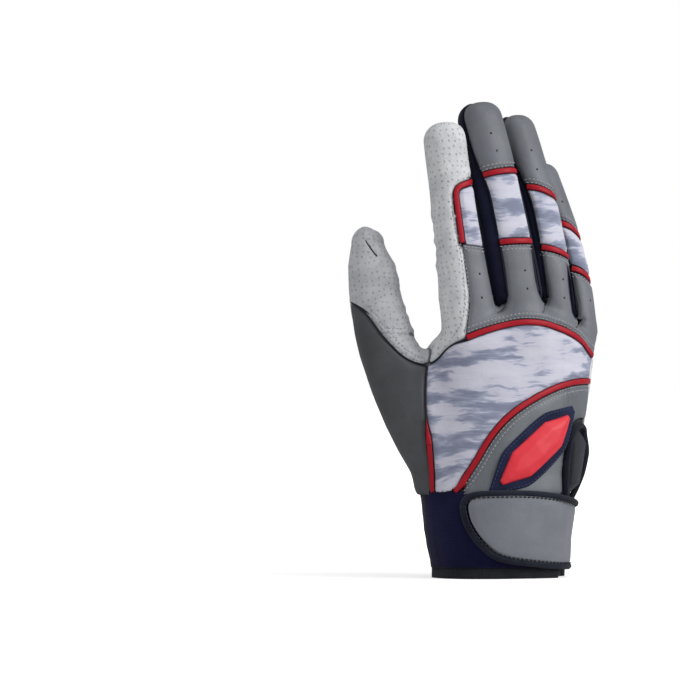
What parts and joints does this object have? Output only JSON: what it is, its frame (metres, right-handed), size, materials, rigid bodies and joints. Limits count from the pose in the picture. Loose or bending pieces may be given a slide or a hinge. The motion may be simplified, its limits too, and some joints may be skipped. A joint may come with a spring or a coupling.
{
  "type": "batting glove",
  "caption": "Right-hand batting glove of leather and stretch cloth, with flexing finger and thumb stalls, a ribbed elastic cuff and a wrist strap with hook-and-loop tape.",
  "frame": {"origin": "on the surface that the cuff rim stands on, below the middle of the glove", "axes": "+Z from the cuff to the fingertips, -Y towards the back of the hand, +Y towards the palm, -X towards the thumb, +X towards the little finger"},
  "size_m": [0.1296, 0.0758, 0.2402],
  "materials": {
    "grey_leather": "coated split leather, matt",
    "dark_leather": "coated split leather, matt",
    "white_leather": "perforated sheepskin, matt",
    "stretch_cloth": "printed four-way stretch cloth",
    "navy_cloth": "knitted stretch cloth",
    "red_piping": "welded film, satin",
    "coral_rubber": "moulded rubber, satin",
    "navy_binding": "woven binding",
    "black_webbing": "woven tape"
  },
  "bodies": {
    "root": {"knuckle_panel": "grey_leather", "back_stretch_panel": "stretch_cloth", "lower_back_panel": "grey_leather", "knuckle_piping": "red_piping", "diagonal_piping": "red_piping", "side_piping": "red_piping", "thumb_side_panel": "dark_leather", "crotch_leather": "white_leather", "thenar_leather": "white_leather", "palm_leather": "white_leather", "side_cloth_index_middle": "navy_cloth", "side_cloth_middle_ring": "navy_cloth", "side_cloth_ring_little": "navy_cloth", "cuff_rim": "black_webbing", "cuff_elastic": "navy_cloth", "cuff_palm_panel": "black_webbing", "slit_binding": "navy_binding", "slit_gusset": "dark_leather", "loop_tape": "black_webbing", "strap_anchor": "grey_leather", "badge_base": "navy_binding", "badge_face": "coral_rubber"},
    "strap": {"strap_shell": "grey_leather", "strap_binding": "navy_binding", "hook_tape": "black_webbing"},
    "index_proximal": {"index_tab": "grey_leather", "index_insert": "stretch_cloth", "index_piping": "red_piping", "index_leather": "white_leather"},
    "index_distal": {"index_tip_leather": "white_leather"},
    "middle_proximal": {"middle_tab": "grey_leather", "middle_leather": "white_leather", "middle_insert": "stretch_cloth", "middle_lower_piping": "red_piping"},
    "middle_distal": {"middle_upper_piping": "red_piping", "middle_tip_panel": "grey_leather", "middle_tip_leather": "white_leather"},
    "ring_proximal": {"ring_tab": "grey_leather", "ring_leather": "white_leather", "ring_insert": "stretch_cloth", "ring_lower_piping": "red_piping"},
    "ring_distal": {"ring_upper_piping": "red_piping", "ring_tip_panel": "grey_leather", "ring_tip_leather": "white_leather"},
    "little_proximal": {"little_tab": "grey_leather", "little_leather": "white_leather", "little_insert": "stretch_cloth", "little_lower_piping": "red_piping"},
    "little_distal": {"little_upper_piping": "red_piping", "little_tip_panel": "grey_leather", "little_tip_leather": "white_leather"},
    "thumb_proximal": {"thumb_leather": "white_leather"},
    "thumb_distal": {"thumb_tip_leather": "white_leather"}
  },
  "joints": [
    {"name": "index_base_joint", "type": "hinge", "parent": "root", "child": "index_proximal", "pos_m": [-0.01946, 0.00531, 0.13874], "axis": [-0.9903, -0.1392, 0], "range_deg": [0, 70], "deforming": ["side_cloth_index_middle"]},
    {"name": "index_middle_joint", "type": "hinge", "parent": "index_proximal", "child": "index_distal", "pos_m": [-0.02307, 0.00777, 0.17939], "axis": [-0.9903, -0.1392, 0], "range_deg": [0, 80], "deforming": ["index_insert", "index_piping"]},
    {"name": "middle_base_joint", "type": "hinge", "parent": "root", "child": "middle_proximal", "pos_m": [0.00946, 0.00168, 0.14078], "axis": [-0.9903, -0.1392, 0], "range_deg": [0, 70], "deforming": ["side_cloth_middle_ring"]},
    {"name": "middle_middle_joint", "type": "hinge", "parent": "middle_proximal", "child": "middle_distal", "pos_m": [0.00342, 0.00563, 0.1844], "axis": [-0.9903, -0.1392, 0], "range_deg": [0, 80], "deforming": ["middle_insert"]},
    {"name": "ring_base_joint", "type": "hinge", "parent": "root", "child": "ring_proximal", "pos_m": [0.03396, 0.00678, 0.13696], "axis": [-0.9903, -0.1392, 0], "range_deg": [0, 70], "deforming": ["side_cloth_ring_little"]},
    {"name": "ring_middle_joint", "type": "hinge", "parent": "ring_proximal", "child": "ring_distal", "pos_m": [0.02959, 0.01048, 0.17639], "axis": [-0.9903, -0.1392, 0], "range_deg": [0, 80], "deforming": ["ring_insert"]},
    {"name": "little_base_joint", "type": "hinge", "parent": "root", "child": "little_proximal", "pos_m": [0.0524, 0.01728, 0.12947], "axis": [-0.9903, -0.1392, 0], "range_deg": [0, 70]},
    {"name": "little_middle_joint", "type": "hinge", "parent": "little_proximal", "child": "little_distal", "pos_m": [0.04973, 0.02096, 0.163], "axis": [-0.9903, -0.1392, 0], "range_deg": [0, 80], "deforming": ["little_insert"]},
    {"name": "thumb_base_joint", "type": "hinge", "parent": "root", "child": "thumb_proximal", "pos_m": [-0.05512, 0.03486, 0.1345], "axis": [-0.8705, -0.0755, 0.4863], "range_deg": [0, 35]},
    {"name": "thumb_tip_joint", "type": "hinge", "parent": "thumb_proximal", "child": "thumb_distal", "pos_m": [-0.04628, 0.03465, 0.15129], "axis": [-0.8238, 0.5482, -0.1441], "range_deg": [0, 50]},
    {"name": "strap_hinge", "type": "hinge", "parent": "root", "child": "strap", "pos_m": [0.04232, 0.00101, 0.02], "axis": [0, 0, 1], "range_deg": [0, 130]}
  ]
}
